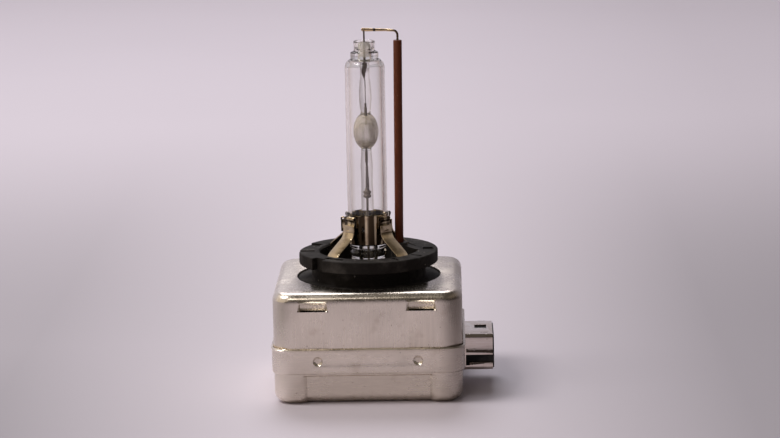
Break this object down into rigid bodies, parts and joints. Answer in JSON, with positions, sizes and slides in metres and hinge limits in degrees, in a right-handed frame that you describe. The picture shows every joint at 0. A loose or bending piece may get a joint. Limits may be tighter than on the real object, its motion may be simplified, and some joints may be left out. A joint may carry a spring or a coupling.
{
  "type": "gas discharge headlight bulb",
  "caption": "Gas discharge headlight bulb: quartz burner with a ceramic-sleeved return wire on a ringed plastic base, over a drawn metal can that holds the igniter, with a side plug socket",
  "frame": {"origin": "on the burner's axis, at the centre of the reference ring's upper face", "axes": "+Z along the burner towards its tip, +X towards the plug socket, -Y towards the front"},
  "size_m": [0.0506, 0.0438, 0.0827],
  "materials": {
    "can_metal": "drawn sheet with a satin vertical grain, light scuffs and bright rolled edges",
    "base_plastic": "matt black heat-proof moulding",
    "tray_plastic": "matt dark grey moulding",
    "plated_shroud": "bright nickel plate",
    "socket_plastic": "black moulding",
    "plated_contact": "tin and brass plated strip",
    "strap_steel": "warm-tinted spring steel with a fine grain along the strap",
    "burner_glass": "clear quartz",
    "salts": "frozen pale yellow salt",
    "burner_metal": "dull molybdenum and tungsten",
    "brown_ceramic": "unglazed dark red-brown ceramic",
    "return_metal": "heat-tinted nickel alloy wire",
    "board": "green solder mask",
    "ferrite": "dark sintered ferrite",
    "bobbin_plastic": "cream liquid-crystal polymer",
    "copper": "enamelled copper wire",
    "white_ceramic": "glazed alumina",
    "capacitor_case": "dipped epoxy case",
    "resistor_body": "lacquered film resistor",
    "gasket_rubber": "matt silicone rubber"
  },
  "bodies": {
    "root": {"upper_can": "can_metal", "lower_can": "can_metal", "burner_base": "base_plastic", "igniter_tray": "tray_plastic", "connector_shroud": "plated_shroud", "connector_insert": "socket_plastic", "connector_pins": "plated_contact", "clamp_sleeve": "strap_steel", "strap_front_left": "strap_steel", "strap_front_right": "strap_steel", "strap_rear_left": "strap_steel", "strap_rear_right": "strap_steel", "outer_glass_tube": "burner_glass", "arc_tube": "burner_glass", "halide_salts": "salts", "upper_electrode": "burner_metal", "lower_electrode": "burner_metal", "upper_foil": "burner_metal", "lower_foil": "burner_metal", "upper_lead_wire": "burner_metal", "lower_lead_wire": "burner_metal", "lower_lead_crimp": "burner_metal", "ceramic_tube": "brown_ceramic", "return_wire": "return_metal", "hv_terminal": "plated_contact", "return_terminal": "plated_contact", "circuit_board": "board", "transformer_core": "ferrite", "transformer_bobbin": "bobbin_plastic", "secondary_winding": "copper", "primary_winding": "copper", "spark_gap_body": "white_ceramic", "spark_gap_caps": "plated_shroud", "pulse_capacitor": "capacitor_case", "filter_capacitor": "capacitor_case", "bleed_resistor": "resistor_body", "choke_core": "ferrite", "choke_winding": "copper", "sealing_gasket": "gasket_rubber"}
  },
  "joints": []
}
